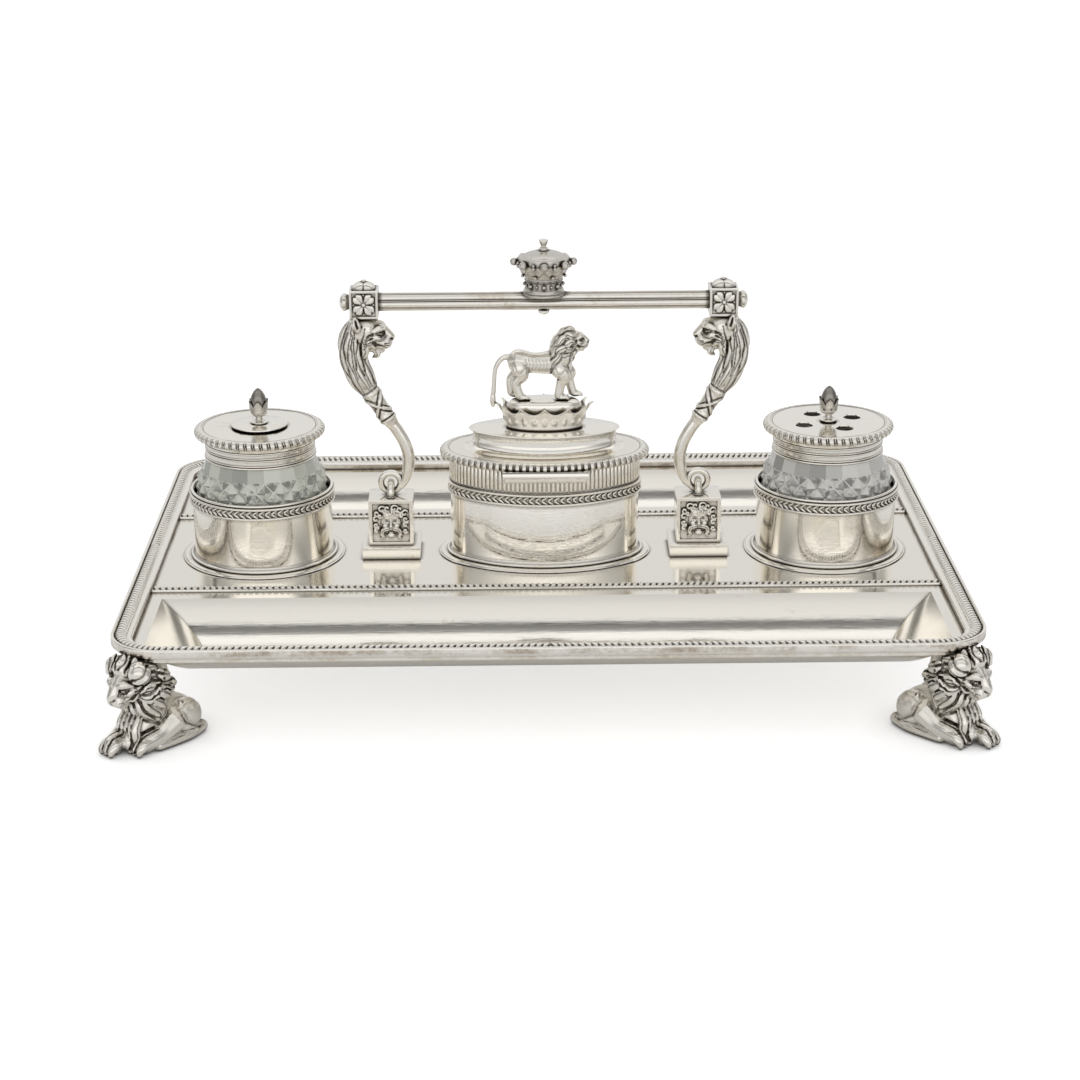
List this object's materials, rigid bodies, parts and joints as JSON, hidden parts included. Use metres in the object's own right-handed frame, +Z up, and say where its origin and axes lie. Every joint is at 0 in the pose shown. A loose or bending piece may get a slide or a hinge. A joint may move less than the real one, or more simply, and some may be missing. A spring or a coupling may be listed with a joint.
{
  "type": "desk inkstand",
  "caption": "Silver-look desk tray with lion feet, two glass bottles, an oval lidded box between them and a swing carrying handle.",
  "frame": {"origin": "on the desk, under the middle of the tray", "axes": "+X along the tray's length to the right, -Y to the front, +Z up"},
  "size_m": [0.392, 0.288, 0.1938],
  "materials": {
    "polished_silver": "polished",
    "moulded_silver": "polished, dark in the hollows",
    "cast_silver": "polished, dark in the hollows",
    "cut_glass": "cut and polished"
  },
  "bodies": {
    "stand": {"tray": "polished_silver", "rim_border": "moulded_silver", "front_divider": "moulded_silver", "rear_divider": "moulded_silver", "foot_front_left": "cast_silver", "foot_front_right": "cast_silver", "foot_rear_left": "cast_silver", "foot_rear_right": "cast_silver", "ink_well_frame": "polished_silver", "quill_well_frame": "polished_silver", "ink_well_band": "moulded_silver", "quill_well_band": "moulded_silver", "box_frame": "polished_silver", "box_band": "moulded_silver", "box_drum": "polished_silver", "hinge_fixed_leaf": "polished_silver", "hinge_pin": "polished_silver", "plinth_left": "polished_silver", "plinth_right": "polished_silver", "staple_left": "moulded_silver", "staple_right": "moulded_silver"},
    "lid": {"box_lid": "polished_silver", "lid_rim": "moulded_silver", "hinge_moving_leaf": "polished_silver", "lid_stage": "polished_silver", "lid_coronet": "cast_silver", "lid_cushion": "polished_silver", "lid_lion": "cast_silver"},
    "ink_bottle": {"ink_glass": "cut_glass", "ink_collar": "polished_silver"},
    "ink_cap": {"ink_lid": "polished_silver", "ink_lid_disc": "polished_silver", "ink_bud": "cast_silver"},
    "quill_bottle": {"quill_glass": "cut_glass", "quill_collar": "polished_silver"},
    "quill_cap": {"quill_lid": "polished_silver", "quill_bud": "cast_silver"},
    "handle": {"hook_left": "polished_silver", "hook_right": "polished_silver", "arm_left": "cast_silver", "arm_right": "cast_silver", "cube_left": "cast_silver", "cube_right": "cast_silver", "handle_bar": "polished_silver", "bar_nut_left": "cast_silver", "bar_nut_right": "cast_silver", "bar_coronet": "cast_silver", "coronet_screw": "polished_silver", "coronet_nut": "polished_silver"}
  },
  "joints": [
    {"name": "handle_swing", "type": "hinge", "parent": "stand", "child": "handle", "pos_m": [0, 0, 0.07275], "axis": [-1, 0, 0], "range_deg": [-82, 82]},
    {"name": "box_lid_hinge", "type": "hinge", "parent": "stand", "child": "lid", "pos_m": [0, -0.0304, 0.088], "axis": [1, 0, 0], "range_deg": [0, 100]},
    {"name": "ink_bottle_lift", "type": "slide", "parent": "stand", "child": "ink_bottle", "axis": [0, 0, 1], "range_m": [0, 0.04]},
    {"name": "ink_lid_lift", "type": "slide", "parent": "ink_bottle", "child": "ink_cap", "axis": [0, 0, 1], "range_m": [0, 0.02]},
    {"name": "quill_bottle_lift", "type": "slide", "parent": "stand", "child": "quill_bottle", "axis": [0, 0, 1], "range_m": [0, 0.04]},
    {"name": "quill_lid_lift", "type": "slide", "parent": "quill_bottle", "child": "quill_cap", "axis": [0, 0, 1], "range_m": [0, 0.02]}
  ]
}
